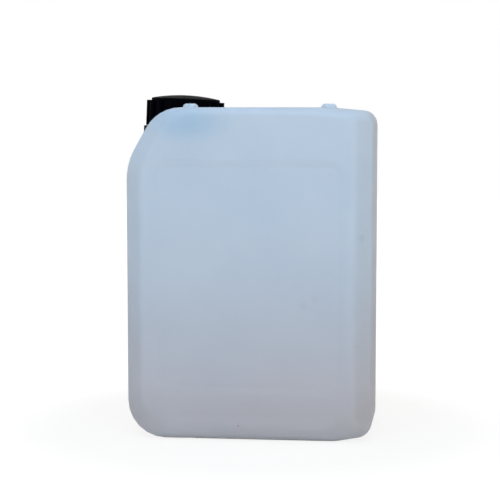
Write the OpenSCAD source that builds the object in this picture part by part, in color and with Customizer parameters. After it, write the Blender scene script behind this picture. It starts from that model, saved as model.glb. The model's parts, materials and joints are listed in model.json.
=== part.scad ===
// Five-litre blow-moulded jerry can with a moulded-in handle and a screw cap.
// Origin at the middle of the base, X to the right seen from the front, Y to the back, Z up.

/* [Body] */
// Width of the body, left to right
body_w = 190; // [180:1:230]
// Depth of the body, front to back
body_d = 140; // [132:1:180]
// Height of the body to the top of its shoulders
body_h = 254; // [235:1:320]
// Thickness of the blown wall
wall = 1.4; // [1.1:0.1:2.2]
// Width of the slanted edge between the front or back and the sides
edge_w = 13; // [10:0.5:16]
// Depth of the slanted edge
edge_d = 11; // [8:0.5:14]
// Rounding where the slanted edge meets the front or back
edge_front_r = 8; // [5:0.5:10]
// Rounding where the slanted edge meets the sides
edge_side_r = 6; // [4:0.5:8]
// Rounding between the front or back and the top
top_edge_r = 6; // [5:0.5:8]
// Rounding between the front or back and the base
base_edge_r = 18; // [16:1:22]
// Draft of the ends from the parting line at the middle of the depth, in degrees
side_draft = 1.5; // [0.5:0.1:2]
// Rounding of the lower left corner, seen from the front
base_left_r = 29; // [20:1:34]
// Rounding of the lower right corner, seen from the front
base_right_r = 12; // [10:1:16]
// Length of the gentle heel under the lower right corner
heel_w = 28; // [24:1:32]
// Rise of the heel
heel_h = 5; // [3:0.5:7]
// Rounding where the heel leaves the base
heel_r = 45; // [30:1:55]

/* [Shoulders] */
// Width that the slope takes from the top at the neck end
slope_w = 24; // [20:1:28]
// Height that the slope takes from the neck end
slope_h = 42; // [36:1:48]
// Rounding where the slope meets the top
slope_top_r = 31; // [22:1:36]
// Rounding where the slope meets the end
slope_low_r = 50; // [34:1:56]
// Length of the gentle fall at the handle end of the top
crown_w = 39; // [34:1:46]
// Drop of that fall
crown_drop = 3.5; // [2.5:0.5:5]
// Rounding at the start of the fall
crown_r = 41; // [30:1:60]
// Rounding of the upper right corner
top_right_r = 11.5; // [10:0.5:16]
// Space between the neck's seat and the shoulders on each side of it
well_side = 4.7; // [4:0.1:8]
// Rounding of the shoulders' and the handle's upper edges
rim_r = 7; // [5:0.5:7.5]
// Rounding at the bottom of the hollows in the top
hollow_r = 9; // [7:0.5:10]

/* [Stacking studs] */
// Diameter of a stud at its foot
stud_d = 12; // [9:0.5:13]
// Height of a stud
stud_h = 2.8; // [2:0.1:3.5]
// Distance of the left stud from the middle
stud_left_x = 45; // [40:1:48]
// Distance of the right stud from the middle
stud_right_x = 60; // [50:1:66]
// Distance of the studs from the front
stud_inset = 19; // [17:0.5:20]
// Clearance round a stud in the socket of the next can
stud_clear = 1; // [0.6:0.1:1.5]

/* [Handle] */
// Width of the handle
handle_w = 26; // [22:1:28]
// Height of the handle's section
handle_h = 22; // [18:1:25]
// Depth of the hollow under the handle
grip_depth = 54; // [50:1:60]
// Thickness of the post at the neck end of the handle
post_t = 11; // [9:0.5:14]
// Thickness of the bridge at the other end of the handle
bridge_t = 22; // [20:1:26]
// Rounding of the handle's long edges
handle_r = 9; // [7:0.5:10]
// Fillet where the handle meets its post and its bridge
handle_end_r = 6; // [4:0.5:8]
// How far the handle lies below the top of the shoulders
handle_drop = 3; // [2.5:0.5:5]

/* [Label panel] */
// Width of the sunk panel on the front and on the back
panel_w = 136; // [110:1:138]
// Height of the sunk panel
panel_h = 163.5; // [120:0.5:170]
// Height of the panel's lower edge above the base
panel_z = 45; // [40:0.5:50]
// Depth of the panel
panel_depth = 0.9; // [0.4:0.1:1.2]
// Width of the panel's soft edge
panel_slope = 8; // [5:0.5:10]
// Rounding of the panel's corners
panel_r = 6; // [4:1:12]

/* [Base] */
// Width of the rim that the can stands on
base_rim = 14; // [10:1:18]
// Height of the hollow in the base
base_rise = 4; // [2:0.5:6]

/* [Neck] */
// Distance of the neck's axis from the left end
neck_inset = 37.5; // [36:0.5:40]
// Depth of the neck's seat below the top of the shoulders
seat_drop = 22; // [18:0.5:24]
// Depth of the floor round the neck below the seat
seat_h = 3.5; // [2:0.5:5]
// Width of the seat's rim round the tamper ring
seat_rim = 1; // [0.5:0.1:1.5]
// Space between the seat and the post of the handle
seat_space = 4; // [3:0.5:6]
// Rounding of the seat's edge
seat_r = 4; // [3:0.5:6]
// Lean of the neck towards the handle, in degrees
neck_lean = 2.5; // [0:0.5:4]
// Diameter of the bore
neck_bore_d = 42.6; // [38:0.2:43]
// Outside diameter of the neck's tube, at the root of its thread
neck_d = 47.4; // [46.4:0.2:47.8]
// Outside diameter of the neck's thread
thread_d = 50.6; // [50:0.2:51]
// Length of the neck above its seat
neck_h = 25.5; // [24:0.5:28]
// Height of the rim at the neck's foot, inside the can
neck_foot = 0.5; // [0.3:0.1:1]
// Rounding of the mouth's outer edge
lip_r = 1; // [0.5:0.1:1.1]

/* [Cap] */
// Outside diameter of the cap's skirt between its ribs
cap_d = 55.4; // [54.6:0.2:57]
// Height of the ribs on the skirt
rib_h = 3.1; // [2:0.1:3.4]
// Width of a rib
rib_w = 3.4; // [3:0.1:4]
// Number of ribs
rib_count = 18; // [12:1:24]
// Angle of the first rib from the left end
rib_phase = 15; // [0:1:30]
// Diameter of the smooth crown above the ribs
cap_crown_d = 54; // [53:0.2:55]
// Height of the crown above the ribs
cap_crown_h = 4.8; // [4:0.1:6]
// Radius of the dome on the crown
dome_r = 130; // [110:5:250]
// Thickness of the cap's top at its middle
cap_top_t = 4.1; // [3.8:0.1:5]
// Rounding of the crown's edge
cap_edge_r = 1.2; // [0.8:0.1:1.5]
// Clearance of the cap round the thread
thread_clear = 0.3; // [0.2:0.05:0.5]
// Thickness of the liner in the cap
liner_t = 1.6; // [1:0.1:2.5]

/* [Tamper ring] */
// Outside diameter of the ring
ring_d = 64.6; // [62.5:0.2:65.4]
// Height of the ring
ring_h = 6.4; // [5:0.1:8]
// Thickness of the ring's wall
ring_t = 2; // [1.4:0.1:2.6]
// Height of the lip at the foot of the ring
ring_lip_h = 1.6; // [1:0.1:2.4]
// Height of the bead on the neck that holds the ring
bead_h = 2.4; // [1.6:0.2:3]
// Gap left between the ring and the cap where the bridges broke
ring_gap = 0.5; // [0.3:0.1:1.2]

/* [Hidden] */
$fn = 96;
// Steps in each rounded corner of the outline, in each rounding and on the flat of the slanted edge
corner_steps = 6;
edge_steps = 3;
facet_steps = 3;
// Steps in each rounding of the seat and of the hollows
seat_steps = 5;
hollow_steps = 5;
// Reach of a cutting shape past the face that it opens
over = 8;
// Smallest rounding left on a corner that is drawn in
least_r = 0.5;
// Clearance of pieces that sit inside one another
fit_clear = 0.3;

body_x = body_w / 2;
body_y = body_d / 2;
neck_x = -body_x + neck_inset;
seat_z = body_h - seat_drop;
// Roundings of the body's outline seen from the front, from the lower left
side_radii = [base_left_r, heel_r, base_right_r, top_right_r, crown_r, slope_top_r, slope_low_r];
// The hollows in the top
plinth_r = ring_d / 2 + seat_rim;
hollow_y = plinth_r + well_side;
hollow_floor = body_h - grip_depth;
well_right = neck_x + plinth_r + seat_space;
well_floor = seat_z - seat_h;
grip_left = well_right + post_t;
grip_right = body_x - bridge_t;
handle_y = handle_w / 2;
handle_top = body_h - handle_drop;
handle_low = handle_top - handle_h;
handle_reach = post_t / 2;
// The places of the studs
stud_y = stud_inset - body_y;
stud_xs = [-stud_left_x, stud_right_x];
// The neck and its cap, measured up the neck's axis from its seat
bore_r = neck_bore_d / 2;
tube_r = neck_d / 2;
bead_r = thread_d / 2;
bead_z = ring_lip_h + fit_clear;
cap_inner_r = thread_d / 2 + thread_clear;
cap_foot = ring_h + ring_gap;
liner_z = neck_h;
cap_ceiling = liner_z + liner_t + fit_clear;
cap_top = cap_ceiling + cap_top_t;
skirt_h = cap_top - cap_crown_h - cap_foot;
cap_edge_x = cap_crown_d / 2 - cap_edge_r;
cap_edge_z = cap_top - dome_r + sqrt(dome_r * dome_r - cap_edge_x * cap_edge_x) - cap_edge_r;

natural = [0.78, 0.83, 0.88];
black = [0.07, 0.07, 0.08];
foam = [0.93, 0.93, 0.9];

// Outward normal of the edge from p to q on a counter-clockwise outline
function edge_normal(p, q) = [q[1] - p[1], p[0] - q[0]] / norm(q - p);

// Points of a convex outline with rounded corners, drawn in by inset; no corner gets sharper than least_r
function rounded_outline(points, radii, inset, steps) =
    let (n = len(points))
    [for (i = [0:n - 1])
        let (
            n0 = edge_normal(points[(i + n - 1) % n], points[i]),
            n1 = edge_normal(points[i], points[(i + 1) % n]),
            r = max(radii[i], inset + least_r),
            centre = points[i] - (n0 + n1) * r / (1 + n0 * n1),
            start = atan2(n0[1], n0[0]),
            turn = acos(n0 * n1)
        )
        for (k = [0:steps])
            let (a = start + turn * k / steps)
            centre + (r - inset) * [cos(a), sin(a)]];

// Corners of a rectangle, counter-clockwise
function box_points(a, b) = [a, [b[0], a[1]], b, [a[0], b[1]]];
function even_radii(r) = [r, r, r, r];

// An outline laid at a height, stood up facing the front and stood up facing the end
function at_z(points, z) = [for (p = points) [p[0], p[1], z]];
function at_y(points, y) = [for (p = points) [p[0], y, p[1]]];
function at_x(points, x) = [for (p = points) [x, p[0], p[1]]];

// A closed solid through rings of equal count, each counter-clockwise seen from the last ring
module loft(rings) {
    n = len(rings[0]);
    m = len(rings);
    polyhedron(
        points = [for (r = rings) each r],
        faces = concat(
            [[for (i = [0:n - 1]) i]],
            [for (j = [0:m - 2], i = [0:n - 1])
                [j * n + i, (j + 1) * n + i, (j + 1) * n + (i + 1) % n, j * n + (i + 1) % n]],
            [[for (i = [n - 1:-1:0]) (m - 1) * n + i]]
        )
    );
}

// Height of the underside at a distance from the parting line, drawn in by inset; it rolls up at the front
function base_level(y, inset) =
    let (d = max(0, abs(y) - body_y + base_edge_r))
    base_edge_r - sqrt(max(0, pow(base_edge_r - inset, 2) - d * d));

// Height of the top at a distance from the parting line, drawn in by inset; it rolls down at the front
function top_level(y, inset) =
    let (d = max(0, abs(y) - body_y + top_edge_r))
    body_h - top_edge_r + sqrt(max(0, pow(top_edge_r - inset, 2) - d * d));

// The body's outline at a distance from the parting line, its ends moved in by side, drawn in by inset
function body_outline(y, side, inset) =
    let (
        x = body_x - abs(y) * tan(side_draft) - side,
        low = base_level(y, inset) - inset,
        top = top_level(y, inset) + inset,
        points = [
            [-x, low],
            [x - heel_w, low],
            [x, low + heel_h],
            [x, top - crown_drop],
            [x - crown_w, top],
            [-x + slope_w, top],
            [-x, top - slope_h]
        ],
        radii = [for (r = side_radii) r - side / 2]
    )
    at_y(rounded_outline(points, radii, inset, corner_steps), y);

// Plan of the slanted edge at the front right, drawn in by inset, from the front round to the end
function edge_plan(inset) =
    let (
        points = [[0, -body_y], [body_x - edge_w, -body_y], [body_x, edge_d - body_y], [body_x, 0]],
        radii = [least_r, edge_front_r, edge_side_r, least_r],
        around = rounded_outline(points, radii, inset, edge_steps),
        n = edge_steps + 1,
        a = around[2 * n - 1],
        b = around[2 * n]
    )
    concat(
        [for (i = [n:2 * n - 1]) around[i]],
        [for (k = [1:facet_steps - 1]) a + (b - a) * k / facet_steps],
        [for (i = [2 * n:3 * n - 1]) around[i]]
    );

// The can's full form before its hollows, drawn in by inset on every side
module envelope(inset) {
    plan = edge_plan(inset);
    end_y = plan[len(plan) - 1][1];
    half = concat(plan, [[body_x - inset, max(base_edge_r - body_y, end_y + least_r)]]);
    sides = [for (v = half) body_x - inset - v[0]];
    last = len(half) - 1;
    loft(concat(
        [for (i = [0:last]) body_outline(-half[i][1], sides[i], inset)],
        [body_outline(0, 0, inset)],
        [for (i = [last:-1:0]) body_outline(half[i][1], sides[i], inset)]
    ));
}

// A hollow sunk from the top between the corners a and b, with a round floor edge and a rolled rim
module hollow(a, b, floor_z, grow) {
    low = hollow_r + grow;
    high = rim_r - grow;
    corner = hollow_r + rim_r;
    foot = [for (k = [0:hollow_steps])
        let (t = 90 * k / hollow_steps)
        [low * (1 - sin(t)) - grow, floor_z - grow + low * (1 - cos(t))]];
    rim = [for (k = [0:hollow_steps])
        let (t = 90 * k / hollow_steps)
        [-grow - high * (1 - cos(t)), body_h - rim_r + high * sin(t)]];
    levels = concat(foot, rim, [[-grow - high, body_h + over]]);
    loft([for (v = levels)
        at_z(rounded_outline(box_points(a, b), even_radii(corner), v[0], hollow_steps), v[1])]);
}

// The handle over the grip, drawn in by inset, with a fillet at each end; it reaches into the walls there
module handle(inset) {
    r = handle_end_r + inset;
    fillet = [for (k = [0:hollow_steps])
        let (t = 90 * k / hollow_steps)
        [handle_end_r - r * sin(t), handle_end_r - r * cos(t)]];
    left = concat([[handle_end_r, -handle_reach]], fillet);
    right = [for (i = [len(left) - 1:-1:0]) left[i]];
    rings = concat(
        [for (v = left) [v[0], grip_left + v[1]]],
        [for (v = right) [v[0], grip_right - v[1]]]
    );
    loft([for (v = rings)
        at_x(rounded_outline(
            box_points([-handle_y - v[0], handle_low - v[0]], [handle_y + v[0], handle_top - inset]),
            even_radii(handle_r - inset), 0, hollow_steps), v[1])]);
}

// All that is hollowed out of the top: the well round the neck and the grip under the handle
module top_hollows(grow) {
    hollow([-body_x - 4 * over, -hollow_y], [well_right, hollow_y], well_floor, grow);
    hollow([grip_left, -hollow_y], [grip_right, hollow_y], hollow_floor, grow);
}

// The sunk label panel on the front, with a soft edge
module label_panel(grow) {
    face = -body_y;
    ease = [[0, 1], [0.25, 0.88], [0.75, 0.12], [1, 0], [1.4, -0.6]];
    loft([for (e = ease)
        at_y(rounded_outline(
            box_points([-panel_w / 2, panel_z], [panel_w / 2, panel_z + panel_h]),
            even_radii(panel_r), -panel_slope * e[0], hollow_steps),
            face + grow + panel_depth * e[1])]);
}

// The hollow in the base, inside the rim that the can stands on
module base_hollow(grow) {
    a = [-body_x + base_left_r + base_rim, -hollow_y];
    b = [body_x - heel_w - base_rim, hollow_y];
    levels = [[-over, -over], [0, 0], [base_rise, base_rise]];
    loft([for (v = levels)
        at_z(rounded_outline(box_points(a, b), even_radii(2 * hollow_r), v[0] - grow, hollow_steps),
            v[1] + grow)]);
}

// Stacking studs on the front shoulder
module studs(grow) {
    r = stud_d / 2 + grow;
    h = stud_h + grow;
    for (x = stud_xs)
        translate([x, stud_y, body_h])
            rotate_extrude($fn = 32)
                polygon([[0, -over], [r, -over], [r, 0],
                    [r - h / 4, h * 0.6], [r - h * 0.8, h], [0, h]]);
}

// Sockets in the base that sit over the studs of the can below
module stud_sockets(grow) {
    for (x = stud_xs)
        translate([x, stud_y, -over])
            cylinder(r = stud_d / 2 + stud_clear + grow, h = over + stud_h + stud_clear + grow, $fn = 32);
}

// Places children on the seat of the leaning neck
module on_neck() {
    translate([neck_x, 0, seat_z]) rotate([0, neck_lean, 0]) children();
}

// The round seat under the neck, drawn in by inset
module neck_seat(inset) {
    r = plinth_r - inset;
    edge = seat_r - inset;
    depth = seat_drop + slope_h;
    rotate_extrude($fn = 64)
        polygon(concat(
            [[0, -depth], [r, -depth]],
            [for (k = [0:seat_steps])
                let (a = 90 * k / seat_steps)
                [r - edge * (1 - cos(a)), -inset - edge * (1 - sin(a))]],
            [[0, -inset]]
        ));
}

// The neck's tube with its holding bead and rounded mouth; its foot is a low rim inside the can
module neck_tube() {
    foot = -wall - neck_foot;
    rotate_extrude()
        difference() {
            union() {
                translate([0, foot]) square([tube_r, neck_h - lip_r - foot]);
                translate([0, neck_h - 2 * lip_r]) square([tube_r - lip_r, 2 * lip_r]);
                translate([tube_r - lip_r, neck_h - lip_r]) circle(lip_r, $fn = 32);
                translate([0, bead_z]) square([bead_r - bead_h / 2, bead_h]);
                translate([bead_r - bead_h / 2, bead_z + bead_h / 2]) circle(bead_h / 2, $fn = 32);
            }
            translate([-over, foot - over]) square([over + bore_r, neck_h + wall + 3 * over]);
        }
}

// The blown form drawn in by inset: its outside at 0, its inside at the wall's thickness
module blown_form(inset) {
    difference() {
        envelope(inset);
        top_hollows(inset);
        label_panel(inset);
        mirror([0, 1, 0]) label_panel(inset);
        base_hollow(inset);
        stud_sockets(inset);
    }
    handle(inset);
    on_neck() neck_seat(inset);
    studs(-inset);
}

// The hollow shell, brought to the can's full width and depth, with a hole for the neck's tube
module shell() {
    resize([body_w, body_d, 0])
        difference() {
            blown_form(0);
            blown_form(wall);
            on_neck()
                translate([0, 0, -over]) cylinder(r = (bore_r + tube_r) / 2, h = 2 * over, $fn = 64);
        }
}

module can_body() {
    color(natural) {
        shell();
        on_neck() neck_tube();
    }
}

// The cap's ribbed skirt in plan
module skirt_outline() {
    circle(d = cap_d);
    for (i = [0:rib_count - 1])
        rotate(180 + rib_phase + i * 360 / rib_count)
            translate([cap_d / 2 + rib_h - rib_w / 2, 0]) circle(d = rib_w, $fn = 24);
}

// Half of the cap's domed crown in section
module crown_section() {
    intersection() {
        translate([0, cap_top - dome_r]) circle(dome_r, $fn = 720);
        union() {
            translate([0, cap_ceiling - over]) square([cap_crown_d / 2, cap_edge_z - cap_ceiling + over]);
            translate([0, cap_ceiling - over]) square([cap_edge_x, cap_top_t + over]);
            translate([cap_edge_x, cap_edge_z]) circle(cap_edge_r, $fn = 32);
        }
    }
}

module screw_cap() {
    color(black)
        on_neck()
            difference() {
                union() {
                    translate([0, 0, cap_foot]) linear_extrude(skirt_h) skirt_outline();
                    rotate_extrude() crown_section();
                }
                translate([0, 0, -over]) cylinder(r = cap_inner_r, h = over + cap_ceiling);
            }
}

module cap_liner() {
    color(foam)
        on_neck()
            translate([0, 0, liner_z]) cylinder(r = cap_inner_r - fit_clear, h = liner_t);
}

module tamper_ring() {
    color(black)
        on_neck()
            difference() {
                cylinder(r = ring_d / 2, h = ring_h);
                translate([0, 0, -over]) cylinder(r = tube_r + fit_clear, h = 2 * over);
                translate([0, 0, ring_lip_h]) cylinder(r = ring_d / 2 - ring_t, h = ring_h);
            }
}

can_body();
screw_cap();
cap_liner();
tamper_ring();
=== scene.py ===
"""Looks of the water jerry can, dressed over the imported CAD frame."""
import json
import math

import bpy
from mathutils import Matrix, Vector
from mathutils.bvhtree import BVHTree


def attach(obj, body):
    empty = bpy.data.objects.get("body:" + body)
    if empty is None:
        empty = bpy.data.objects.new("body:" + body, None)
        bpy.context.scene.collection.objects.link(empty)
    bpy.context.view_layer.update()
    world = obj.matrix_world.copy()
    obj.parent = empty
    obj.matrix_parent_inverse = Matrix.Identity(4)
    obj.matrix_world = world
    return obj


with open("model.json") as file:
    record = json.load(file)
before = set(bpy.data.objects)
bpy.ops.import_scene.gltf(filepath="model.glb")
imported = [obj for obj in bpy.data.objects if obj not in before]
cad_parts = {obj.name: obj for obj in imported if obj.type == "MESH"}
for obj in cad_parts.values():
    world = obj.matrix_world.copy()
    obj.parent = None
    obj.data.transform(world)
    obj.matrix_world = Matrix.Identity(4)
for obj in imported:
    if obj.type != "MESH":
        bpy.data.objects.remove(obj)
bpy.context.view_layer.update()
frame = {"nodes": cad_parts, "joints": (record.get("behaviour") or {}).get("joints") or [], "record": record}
nodes = frame["nodes"]
scene = bpy.context.scene

MM = 0.001


def srgb(r, g, b):
    """A colour as it is written on screen, 0 to 255, as a linear RGBA tuple."""
    def linear(c):
        c /= 255
        return c / 12.92 if c <= 0.04045 else ((c + 0.055) / 1.055) ** 2.4
    return (linear(r), linear(g), linear(b), 1.0)


# Shader building

# The span that most values of a noise fall in
NOISE_SPAN = (0.3, 0.7)
# How far noise pushes a spot's edge in, and where the spot starts to fade and ends, all in radii
SPOT_RAGGED = 0.8
SPOT_FADE = (0.5, 1.2)


def new_material(name):
    """A node material, its tree and its Principled shader."""
    material = bpy.data.materials.new(name)
    material.use_nodes = True
    tree = material.node_tree
    return material, tree, tree.nodes["Principled BSDF"]


def set_inputs(node, values):
    """Sets some of a node's inputs by name."""
    for key, value in values.items():
        node.inputs[key].default_value = value


def math_node(tree, operation, a, b):
    """A Math node on two values, each a socket or a number."""
    node = tree.nodes.new("ShaderNodeMath")
    node.operation = operation
    for socket, value in zip(node.inputs, (a, b)):
        if isinstance(value, (int, float)):
            socket.default_value = value
        else:
            tree.links.new(value, socket)
    return node.outputs[0]


def product(tree, first, *others):
    """Values multiplied together, each a socket or a number."""
    for value in others:
        first = math_node(tree, "MULTIPLY", first, value)
    return first


def object_coords(tree):
    """Places in the object's own space, which is the shared frame, in metres."""
    return tree.nodes.new("ShaderNodeTexCoord").outputs["Object"]


def split_axes(tree, coords):
    """Coordinates as separate values, by the names X, Y and Z."""
    node = tree.nodes.new("ShaderNodeSeparateXYZ")
    tree.links.new(coords, node.inputs[0])
    return node.outputs


def noise(tree, scale, detail=3):
    """Noise in the object's own space, with scale in features per metre."""
    node = tree.nodes.new("ShaderNodeTexNoise")
    set_inputs(node, {"Scale": scale, "Detail": detail})
    tree.links.new(object_coords(tree), node.inputs["Vector"])
    return node.outputs["Fac"]


def ramp(tree, factor, span, colours):
    """A blend of two colours over a span of the factor."""
    node = tree.nodes.new("ShaderNodeValToRGB")
    for element, position, colour in zip(node.color_ramp.elements, span, colours):
        element.position = position
        element.color = colour
    tree.links.new(factor, node.inputs["Fac"])
    return node.outputs["Color"]


def remap(tree, value, source, target):
    """A value spread smoothly from one range to another, and held at the target's ends outside it."""
    node = tree.nodes.new("ShaderNodeMapRange")
    node.interpolation_type = "SMOOTHSTEP"
    tree.links.new(value, node.inputs["Value"])
    for key, number in zip(("From Min", "From Max", "To Min", "To Max"), (*source, *target)):
        node.inputs[key].default_value = number
    return node.outputs["Result"]


def bump(tree, height, shader, depth):
    """Heights, in units of the given depth in metres, as relief on a shader."""
    node = tree.nodes.new("ShaderNodeBump")
    set_inputs(node, {"Strength": 1.0, "Distance": depth})
    tree.links.new(height, node.inputs["Height"])
    tree.links.new(node.outputs["Normal"], shader.inputs["Normal"])


def tinted(tree, colour, factor, tint):
    """A colour moved towards a tint, all the way where the factor is 1."""
    mix = tree.nodes.new("ShaderNodeMix")
    mix.data_type = "RGBA"
    tree.links.new(factor, mix.inputs["Factor"])
    tree.links.new(colour, mix.inputs[6])
    mix.inputs[7].default_value = tint
    return mix.outputs[2]


def vector_node(tree, operation, a, b=None):
    """A Vector Math node on a socket and, where the operation takes one, a constant vector."""
    node = tree.nodes.new("ShaderNodeVectorMath")
    node.operation = operation
    tree.links.new(a, node.inputs[0])
    if b is not None:
        node.inputs[1].default_value = b
    return node.outputs


def away_from(tree, place, stretch=(1, 1, 1)):
    """Distance from a place on the object, counted more along the axes that are stretched."""
    offset = vector_node(tree, "SUBTRACT", object_coords(tree), place)["Vector"]
    scaled = vector_node(tree, "MULTIPLY", offset, stretch)["Vector"]
    return vector_node(tree, "LENGTH", scaled)["Value"]


def spot(tree, place, radius):
    """1 at a place on the object, falling to 0 at about the radius, with a ragged edge."""
    push = product(tree, noise(tree, scale=400, detail=2), radius * SPOT_RAGGED)
    ragged = math_node(tree, "ADD", away_from(tree, place), push)
    return remap(tree, ragged, [radius * share for share in SPOT_FADE], (1.0, 0.0))


# Dirt and painted shade on the can, with places, radii and heights in metres

# Small marks: place, radius and strength
MARK_COLOUR = srgb(70, 66, 62)
MARKS = (
    ((-0.0066, -0.0694, 0.0135), 0.0011, 0.80),
    ((0.0855, -0.0655, 0.1566), 0.0055, 0.09),
    ((0.0936, -0.0540, 0.1620), 0.0050, 0.14),
    ((0.0425, -0.0692, 0.1055), 0.0062, 0.055),
    ((0.0510, -0.0692, 0.1115), 0.0055, 0.05),
    ((0.0828, -0.0678, 0.0752), 0.0045, 0.07),
)
# Painted shade where the dark neck and cap show through the front shoulder's wall, which stays when the cap
# is lifted, and how far it spreads
SHADE_COLOUR = srgb(120, 170, 205)
SHADE_PLACE = (-0.0462, -0.070, 0.2430)
SHADE_STRETCH = (1, 0.5, 2.2)
SHADE_SPREAD = (0.004, 0.042)
SHADE_STRENGTH = 0.34
# Painted shade, duller and warmer towards the foot: its top, and the height below which it thins to a share
# of its strength at the base
LOW_SHADE_COLOUR = srgb(180, 150, 133)
LOW_SHADE_STRENGTH = 0.41
LOW_SHADE_TOP = 0.187
LOW_SHADE_THIN_BELOW = 0.022
LOW_SHADE_AT_BASE = 0.66
LOW_SHADE_PATCHES = (0.9, 1.1)
# The colour of the painted shade along the foot and up the right edge, and the heights over which the foot's
# band comes and goes
FOOT_EDGE_SHADE_COLOUR = srgb(118, 118, 88)
FOOT_RISE = (0.006, 0.024)
FOOT_FALL = (0.022, 0.048)
FOOT_STRENGTH = 0.06
# Where the painted shade up the right edge comes in across X and Y, and how it thins upwards
EDGE_X = (0.077, 0.085)
EDGE_Y = (-0.064, -0.056)
EDGE_THIN = (0.015, 0.05)
EDGE_STRENGTH = (0.11, 0.06)
EDGE_TOP = (0.16, 0.21)


def marks(tree, colour):
    """Specks and scuffs."""
    for place, radius, strength in MARKS:
        mark = product(tree, spot(tree, place, radius), strength)
        colour = tinted(tree, colour, mark, MARK_COLOUR)
    return colour


def painted_neck_shade(tree, colour):
    """Painted shade where the dark neck and cap show through the front shoulder's wall."""
    distance = away_from(tree, SHADE_PLACE, SHADE_STRETCH)
    shade = remap(tree, distance, SHADE_SPREAD, (SHADE_STRENGTH, 0.0))
    return tinted(tree, colour, shade, SHADE_COLOUR)


def low_shade(tree, colour):
    """Painted shade, duller and warmer towards the foot."""
    z = split_axes(tree, object_coords(tree))["Z"]
    factor = product(
        tree,
        remap(tree, z, (0.0, LOW_SHADE_TOP), (LOW_SHADE_STRENGTH, 0.0)),
        remap(tree, z, (0.0, LOW_SHADE_THIN_BELOW), (LOW_SHADE_AT_BASE, 1.0)),
        remap(tree, noise(tree, scale=9), NOISE_SPAN, LOW_SHADE_PATCHES))
    return tinted(tree, colour, factor, LOW_SHADE_COLOUR)


def foot_and_edge_shade(tree, colour):
    """Painted shade along the foot and up the right edge at the front."""
    axes = split_axes(tree, object_coords(tree))
    foot = product(
        tree,
        remap(tree, axes["Z"], FOOT_RISE, (0.0, 1.0)),
        remap(tree, axes["Z"], FOOT_FALL, (FOOT_STRENGTH, 0.0)))
    edge = product(
        tree,
        remap(tree, axes["X"], EDGE_X, (0.0, 1.0)),
        remap(tree, axes["Y"], EDGE_Y, (1.0, 0.0)),
        remap(tree, axes["Z"], EDGE_THIN, EDGE_STRENGTH),
        remap(tree, axes["Z"], EDGE_TOP, (1.0, 0.0)))
    return tinted(tree, colour, math_node(tree, "ADD", foot, edge), FOOT_EDGE_SHADE_COLOUR)


# Materials

NATURAL_COLOURS = (srgb(190, 203, 217), srgb(196, 208, 221))
NATURAL_ROUGHNESS = (0.60, 0.72)
# Heights of the orange peel and of the slow waves in the blown wall, in millimetres
PEEL_H = 0.02
WAVE_H = 0.5
BLACK_COLOURS = (srgb(2, 2, 4), srgb(5, 5, 9))
BLACK_ROUGHNESS = (0.55, 0.65)
BLACK_GRAIN_H = 0.015 * MM
FOAM_COLOURS = (srgb(226, 226, 220), srgb(240, 240, 235))
FOAM_CELL_H = 0.05 * MM


def natural_plastic(name, scatter):
    """Natural polyethylene as it comes from the mould, with a little handling dirt and painted shade.

    Scatter is the share of light that spreads inside it: all in a wall, none in a ridge too fine for it.
    """
    material, tree, shader = new_material(name)
    colour = ramp(tree, noise(tree, scale=14), NOISE_SPAN, NATURAL_COLOURS)
    # Real specks and scuffs, then painted shade: the neck seen through the wall, towards the foot and up the
    # right edge
    for layer in (marks, painted_neck_shade, low_shade, foot_and_edge_shade):
        colour = layer(tree, colour)
    tree.links.new(colour, shader.inputs["Base Color"])
    roughness = remap(tree, noise(tree, scale=40), NOISE_SPAN, NATURAL_ROUGHNESS)
    tree.links.new(roughness, shader.inputs["Roughness"])
    set_inputs(shader, {
        "Subsurface Weight": scatter,
        "Subsurface Radius": (1.0, 1.0, 1.0),
        "Subsurface Scale": 5 * MM,
        "IOR": 1.5,
        "Specular IOR Level": 0.25,
    })
    peel = product(tree, noise(tree, scale=650, detail=2), PEEL_H)
    waves = product(tree, noise(tree, scale=22, detail=2), WAVE_H)
    bump(tree, math_node(tree, "ADD", peel, waves), shader, MM)
    return material


def black_plastic():
    """Satin black moulded plastic with a fine grain."""
    material, tree, shader = new_material("black_polypropylene")
    colour = ramp(tree, noise(tree, scale=300, detail=4), NOISE_SPAN, BLACK_COLOURS)
    tree.links.new(colour, shader.inputs["Base Color"])
    roughness = remap(tree, noise(tree, scale=180), NOISE_SPAN, BLACK_ROUGHNESS)
    tree.links.new(roughness, shader.inputs["Roughness"])
    set_inputs(shader, {"Specular IOR Level": 0.012})
    bump(tree, noise(tree, scale=2500, detail=2), shader, BLACK_GRAIN_H)
    return material


def foam():
    """Closed-cell foam of the cap's liner."""
    material, tree, shader = new_material("liner_foam")
    colour = ramp(tree, noise(tree, scale=1200, detail=2), NOISE_SPAN, FOAM_COLOURS)
    tree.links.new(colour, shader.inputs["Base Color"])
    set_inputs(shader, {"Roughness": 0.8})
    bump(tree, noise(tree, scale=3000, detail=2), shader, FOAM_CELL_H)
    return material


# The CAD nodes, dressed where they are

CREASE = math.radians(35)
WELD_GAP = 0.002 * MM


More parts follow.
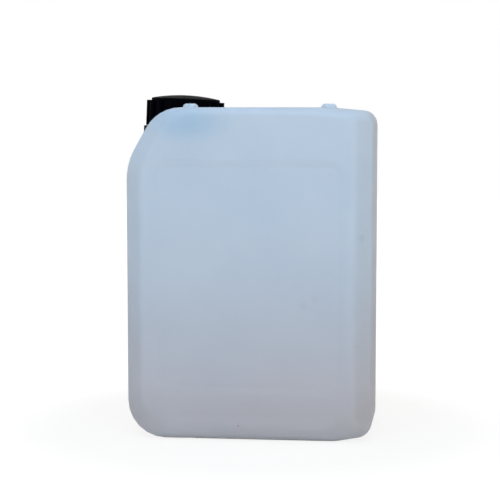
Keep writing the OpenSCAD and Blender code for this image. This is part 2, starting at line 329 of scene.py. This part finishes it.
def crease_group():
    """Geometry nodes that mark an edge as sharp where its faces meet at a clear angle."""
    group = bpy.data.node_groups.new("creases", "GeometryNodeTree")
    for side in ("INPUT", "OUTPUT"):
        group.interface.new_socket("Geometry", in_out=side, socket_type="NodeSocketGeometry")
    source = group.nodes.new("NodeGroupInput")
    result = group.nodes.new("NodeGroupOutput")
    angle = group.nodes.new("GeometryNodeInputMeshEdgeAngle")
    gentle = group.nodes.new("FunctionNodeCompare")
    gentle.operation = "LESS_THAN"
    gentle.inputs["B"].default_value = CREASE
    shade = group.nodes.new("GeometryNodeSetShadeSmooth")
    shade.domain = "EDGE"
    group.links.new(angle.outputs["Unsigned Angle"], gentle.inputs["A"])
    group.links.new(source.outputs[0], shade.inputs["Geometry"])
    group.links.new(gentle.outputs["Result"], shade.inputs["Shade Smooth"])
    group.links.new(shade.outputs[0], result.inputs[0])
    return group


def set_material(mesh, material):
    """Gives a mesh one material and smooth faces."""
    mesh.materials.clear()
    mesh.materials.append(material)
    for polygon in mesh.polygons:
        polygon.use_smooth = True


def dress(node, material):
    """Puts a material on a CAD node and shades its curves smooth, its creases sharp."""
    obj = nodes[node]
    set_material(obj.data, material)
    weld = obj.modifiers.new("weld", "WELD")
    weld.merge_threshold = WELD_GAP
    creases = obj.modifiers.new("creases", "NODES")
    creases.node_group = CREASES
    normals = obj.modifiers.new("normals", "WEIGHTED_NORMAL")
    normals.keep_sharp = True


NATURAL = natural_plastic("natural_polyethylene", 1.0)
SEAM = natural_plastic("natural_polyethylene_seam", 0.0)
BLACK = black_plastic()
FOAM = foam()
CREASES = crease_group()
dress("can_body", NATURAL)
dress("screw_cap", BLACK)
dress("tamper_ring", BLACK)
dress("cap_liner", FOAM)


# Ridges that ride on a body

# Points in a ring across a ridge: root, crest, crest and root
RING = 4


def run_out(i, count, fade):
    """A ridge's share of its full height at step i of count, with a fade of some steps at both ends."""
    return min(1.0, i / fade, (count - i) / fade)


def ridge(name, points, material, body):
    """A closed ridge through rings of points."""
    last = len(points) - RING
    faces = [tuple(range(RING)), tuple(reversed(range(last, last + RING)))]
    for ring in range(0, last, RING):
        for k in range(RING):
            a, b = ring + k, ring + (k + 1) % RING
            faces.append((a, a + RING, b + RING, b))
    mesh = bpy.data.meshes.new(name)
    mesh.from_pydata(points, [], faces)
    mesh.validate()
    set_material(mesh, material)
    obj = bpy.data.objects.new(name, mesh)
    scene.collection.objects.link(obj)
    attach(obj, body)
    return obj


# The line where the mould halves met, and the pinched weld in the base, laid on the can's outside

# Rays go from REACH away towards MIDDLE, a little beside the edges that lie on the line itself
RAY_SLACK = 1e-5
SURFACE = BVHTree.FromPolygons(
    [vertex.co for vertex in nodes["can_body"].data.vertices],
    [polygon.vertices for polygon in nodes["can_body"].data.polygons], epsilon=RAY_SLACK)
MIDDLE = Vector((0, 0, 0.12))
REACH = 0.5
BESIDE = Vector((0, 0.05 * MM, 0))
# Degrees in a step, and steps in the fade at each end
LINE_STEP = 0.4
LINE_FADE = 8
# Height above the wall and depth in it, and half the widths at the root and the crest
LINE_H = 0.12 * MM
LINE_SUNK = 0.08 * MM
LINE_ROOT = 0.4 * MM
LINE_CREST = 0.1 * MM


def parting_line(name, start, end):
    """A fine ridge between two angles about the can's middle, in degrees, run out at both ends."""
    count = int((end - start) / LINE_STEP)
    places = []
    for i in range(count + 1):
        angle = math.radians(start + (end - start) * i / count)
        way = Vector((math.cos(angle), 0, math.sin(angle)))
        hit = SURFACE.ray_cast(MIDDLE + way * REACH + BESIDE, -way)[0]
        places.append(Vector((hit.x, 0, hit.z)))
    points = []
    for i, place in enumerate(places):
        along = (places[min(i + 1, count)] - places[max(i - 1, 0)]).normalized()
        out = Vector((along.z, 0, -along.x))
        side = out.cross(along)
        root = place - out * LINE_SUNK
        crest = place + out * LINE_H * run_out(i, count, LINE_FADE)
        points += [root - side * LINE_ROOT, crest - side * LINE_CREST,
                   crest + side * LINE_CREST, root + side * LINE_ROOT]
    ridge(name, points, SEAM, "can")


parting_line("parting_line_right", start=-56, end=96.5)
parting_line("parting_line_left", start=136, end=236)
parting_line("base_weld", start=252, end=288)


# The screw thread, in the neck's own frame: up its axis from its seat

TURN = next(joint for joint in frame["joints"] if joint["name"] == "cap_turn")
LEAN = Vector((0, 0, 1)).rotation_difference(Vector(TURN["axis"]))
NECK = Matrix.Translation(TURN["pos_m"]) @ LEAN.to_matrix().to_4x4()
LIFT = next(row for row in frame["record"]["behaviour"]["couplings"] if row["joint"] == "cap_lift")
PITCH = 2 * math.pi * LIFT["ratio"]
TUBE_R = 23.7 * MM
THREAD_R = 25.3 * MM
THREAD_CLEAR = 0.3 * MM
CAP_INNER_R = THREAD_R + THREAD_CLEAR
# Depth of a root in its wall, and the space between the cap's crest and the tube
THREAD_SUNK = 0.2 * MM
THREAD_SPACE = 0.5 * MM
# Steps in a turn, and in the fade at each end
THREAD_STEPS = 64
THREAD_FADE = 10
THREAD_BEVEL = 0.3 * MM
BEVEL_SEGMENTS = 2
BEVEL_ABOVE = math.radians(25)


def thread(name, root_r, crest_r, start, turns, root_w, crest_w, material, body):
    """One ridge wound right-handed round the neck's axis, run out to nothing at both ends."""
    count = int(turns * THREAD_STEPS)
    facing = 1 if crest_r > root_r else -1
    points = []
    for i in range(count + 1):
        turned = i / THREAD_STEPS
        angle = 2 * math.pi * turned
        middle = start + PITCH * turned
        crest = root_r + (crest_r - root_r) * run_out(i, count, THREAD_FADE)
        for r, width in ((root_r, -root_w), (crest, -crest_w), (crest, crest_w), (root_r, root_w)):
            z = middle + facing * width / 2
            points.append(NECK @ Vector((r * math.cos(angle), r * math.sin(angle), z)))
    obj = ridge(name, points, material, body)
    bevel = obj.modifiers.new("bevel", "BEVEL")
    bevel.width = THREAD_BEVEL
    bevel.segments = BEVEL_SEGMENTS
    bevel.limit_method = "ANGLE"
    bevel.angle_limit = BEVEL_ABOVE


thread("neck_thread", root_r=TUBE_R - THREAD_SUNK, crest_r=THREAD_R,
       start=9 * MM, turns=2.1, root_w=3.0 * MM, crest_w=1.5 * MM,
       material=NATURAL, body="can")
thread("cap_thread", root_r=CAP_INNER_R + THREAD_SUNK, crest_r=TUBE_R + THREAD_SPACE,
       start=12 * MM, turns=1.6, root_w=2.4 * MM, crest_w=1.2 * MM,
       material=BLACK, body="cap")


# Stage: a white floor, cool soft light from above and neutral light from the front and back

WHITE = (1, 1, 1, 1)
FLOOR_COLOUR = srgb(234, 226, 218)
FLOOR_HALF = 3.0
FLOOR_GLOW = 1.06
# Distances from the can's middle over which the floor's shadow fades, and the white share at each
SHADOW_FADE = (0.14, 0.26)
SHADOW_WHITE = (0.80, 1.0)
# The sky's light from the left and from the right, the span of X between them, and its strength going up
SKY_COLOURS = ((0.96, 0.97, 1.0, 1), (0.86, 0.85, 0.82, 1))
SKY_SPAN = (0.1, 1.0)
SKY_STRENGTH = (0.74, 0.47)


def shows_white(tree):
    """1 for the rays that should meet a white background: from the camera, in gloss and through glass."""
    path = tree.nodes.new("ShaderNodeLightPath").outputs
    gloss = math_node(tree, "MAXIMUM", path["Is Glossy Ray"], path["Is Transmission Ray"])
    return math_node(tree, "MAXIMUM", path["Is Camera Ray"], gloss)


def plain_white(tree, kind, strength):
    """A shader that shines white by itself."""
    node = tree.nodes.new(kind)
    set_inputs(node, {"Color": WHITE, "Strength": strength})
    return node


def show_mix(tree, share, lit, plain, output_kind):
    """Shows the lit shader, and the plain one for a share of it."""
    mix = tree.nodes.new("ShaderNodeMixShader")
    output = tree.nodes.new(output_kind)
    tree.links.new(share, mix.inputs[0])
    tree.links.new(lit.outputs[0], mix.inputs[1])
    tree.links.new(plain.outputs[0], mix.inputs[2])
    tree.links.new(mix.outputs[0], output.inputs["Surface"])


def white_floor():
    """A floor that the camera sees as white with a faint shadow, and the light as grey."""
    material = bpy.data.materials.new("floor")
    material.use_nodes = True
    tree = material.node_tree
    tree.nodes.clear()
    whiteness = remap(tree, away_from(tree, (0, 0, 0)), SHADOW_FADE, SHADOW_WHITE)
    lit = tree.nodes.new("ShaderNodeBsdfDiffuse")
    set_inputs(lit, {"Color": FLOOR_COLOUR})
    show_mix(tree, product(tree, shows_white(tree), whiteness), lit,
             plain_white(tree, "ShaderNodeEmission", FLOOR_GLOW), "ShaderNodeOutputMaterial")
    mesh = bpy.data.meshes.new("floor")
    corners = [(x * FLOOR_HALF, y * FLOOR_HALF, 0) for x, y in ((-1, -1), (1, -1), (1, 1), (-1, 1))]
    mesh.from_pydata(corners, [], [(0, 1, 2, 3)])
    mesh.materials.append(material)
    floor = bpy.data.objects.new("floor", mesh)
    scene.collection.objects.link(floor)


def sky():
    """White to the camera, pale cool light for everything else."""
    world = bpy.data.worlds.new("world")
    scene.world = world
    world.use_nodes = True
    tree = world.node_tree
    tree.nodes.clear()
    axes = split_axes(tree, tree.nodes.new("ShaderNodeTexCoord").outputs["Generated"])
    light = tree.nodes.new("ShaderNodeBackground")
    across = remap(tree, axes["X"], SKY_SPAN, (0.0, 1.0))
    tree.links.new(ramp(tree, across, (0.0, 1.0), SKY_COLOURS), light.inputs["Color"])
    tree.links.new(remap(tree, axes["Z"], (0.0, 1.0), SKY_STRENGTH), light.inputs["Strength"])
    show_mix(tree, shows_white(tree), light,
             plain_white(tree, "ShaderNodeBackground", 1.0), "ShaderNodeOutputWorld")


def add_aimed(name, data, place, aim):
    """Adds a lamp or a camera that looks from a place towards an aim."""
    obj = bpy.data.objects.new(name, data)
    obj.location = place
    direction = Vector(aim) - Vector(place)
    obj.rotation_euler = direction.to_track_quat("-Z", "Y").to_euler()
    scene.collection.objects.link(obj)
    return obj


def area_light(name, place, aim, size, power, colour):
    """A round soft lamp."""
    data = bpy.data.lights.new(name, "AREA")
    data.shape = "DISK"
    data.size = size
    data.energy = power
    data.color = colour
    add_aimed(name, data, place, aim)


white_floor()
sky()
area_light("top", place=(0.0, -0.65, 0.75), aim=(0, 0, 0.2), size=0.7, power=3.5, colour=(0.46, 0.72, 1.0))
area_light("front", place=(0.7, -2.1, 0.5), aim=(0, 0, 0.12), size=1.4, power=13, colour=(1.0, 0.98, 0.97))
area_light("back", place=(-0.6, 2.1, 0.45), aim=(0, 0, 0.12), size=1.4, power=7, colour=(1.0, 0.98, 0.97))


# Camera at the photograph's place

PICTURE = 500
FOCAL_PX = 1534.0
SENSOR = 36.0
AZIMUTH = math.radians(6.0)
DISTANCE = 1.2138
CAMERA_HEIGHT = 0.255
AIM = (-0.0052, -0.00048, 0.14105)


def photo_camera():
    """The camera that takes the photograph's view."""
    data = bpy.data.cameras.new("camera")
    data.sensor_width = SENSOR
    data.lens = FOCAL_PX / PICTURE * SENSOR
    place = (DISTANCE * math.sin(AZIMUTH), -DISTANCE * math.cos(AZIMUTH), CAMERA_HEIGHT)
    scene.camera = add_aimed("camera", data, place, AIM)


photo_camera()
scene.view_settings.view_transform = "Standard"
